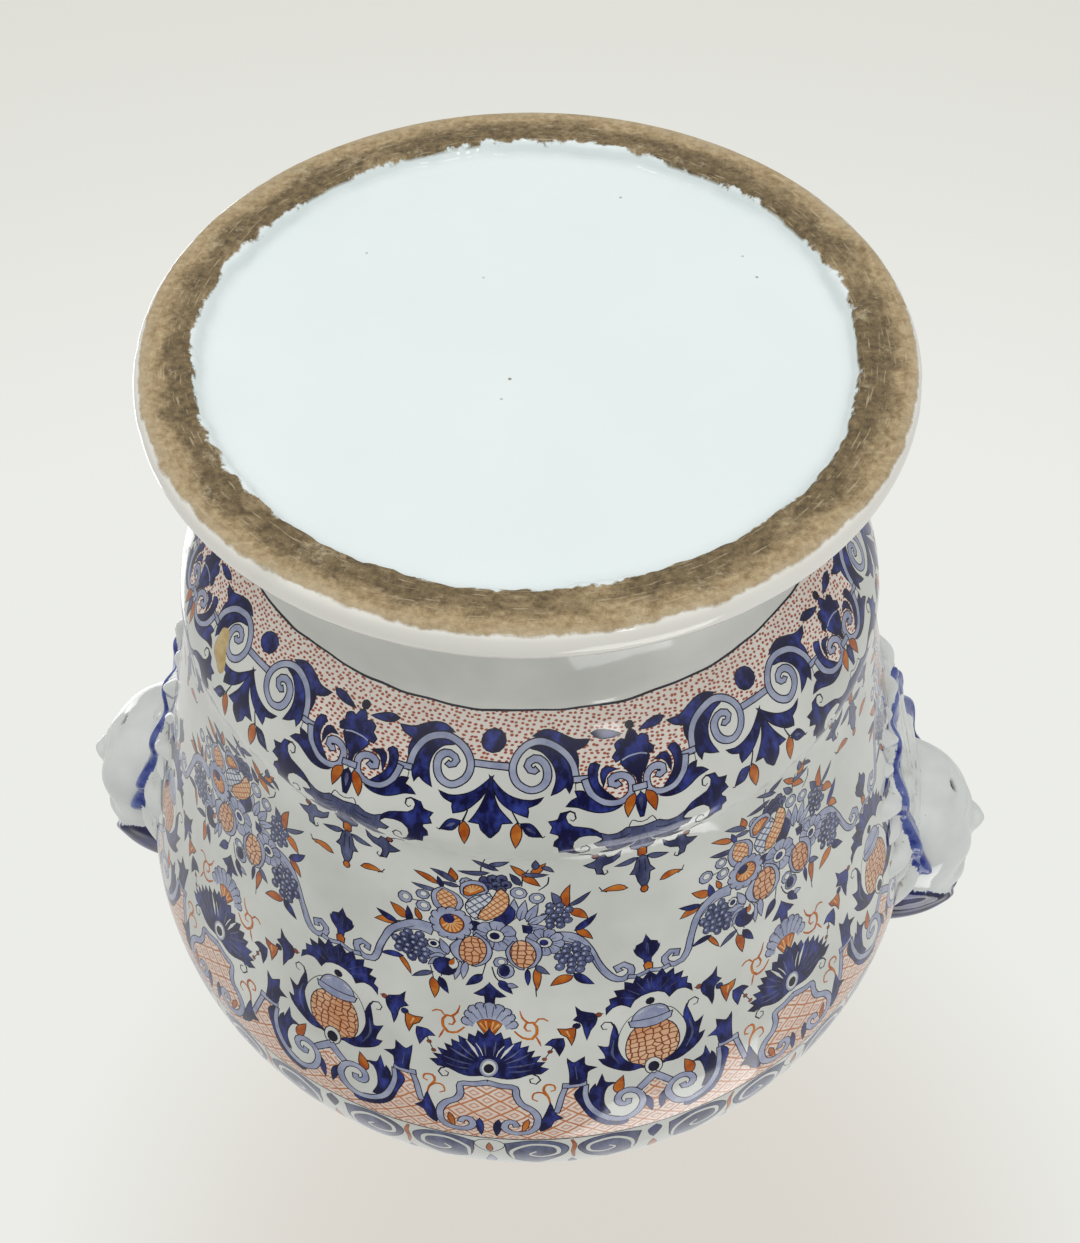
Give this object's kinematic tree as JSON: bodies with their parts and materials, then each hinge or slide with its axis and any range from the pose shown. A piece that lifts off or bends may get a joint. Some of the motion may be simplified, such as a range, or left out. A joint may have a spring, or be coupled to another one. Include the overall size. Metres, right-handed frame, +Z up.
{
  "type": "lidded jar",
  "caption": "Big-bellied glazed earthenware jar on a spreading recessed foot, with a loose domed lid, a turned knob and a moulded mask handle on each side.",
  "frame": {"origin": "centre of the standing ring, on the surface that the jar stands on", "axes": "+Z up through the lid's knob, +X through the right-hand mask handle, -Y towards the front bouquet"},
  "size_m": [0.4122, 0.3406, 0.4888],
  "materials": {
    "foot_glaze": "pale bluish-white tin glaze, with a bare worn standing ring",
    "painted_glaze": "white tin glaze painted in cobalt, grey-blue, iron red and orange",
    "white_glaze": "thick glossy white tin glaze with blue edges",
    "bare_clay": "unglazed tan earthenware"
  },
  "bodies": {
    "jar": {"foot_ring_section": "foot_glaze", "bulge_section": "painted_glaze", "belly_section": "painted_glaze", "shoulder_section": "painted_glaze", "mask_head_right": "white_glaze", "mask_ruff_right": "white_glaze", "mask_head_left": "white_glaze", "mask_ruff_left": "white_glaze"},
    "lid": {"lid_dome": "painted_glaze", "lid_flange": "bare_clay", "lid_finial": "painted_glaze"}
  },
  "joints": [
    {"name": "lid_lift", "type": "slide", "parent": "jar", "child": "lid", "axis": [0, 0, 1], "range_m": [0, 0.15]}
  ]
}
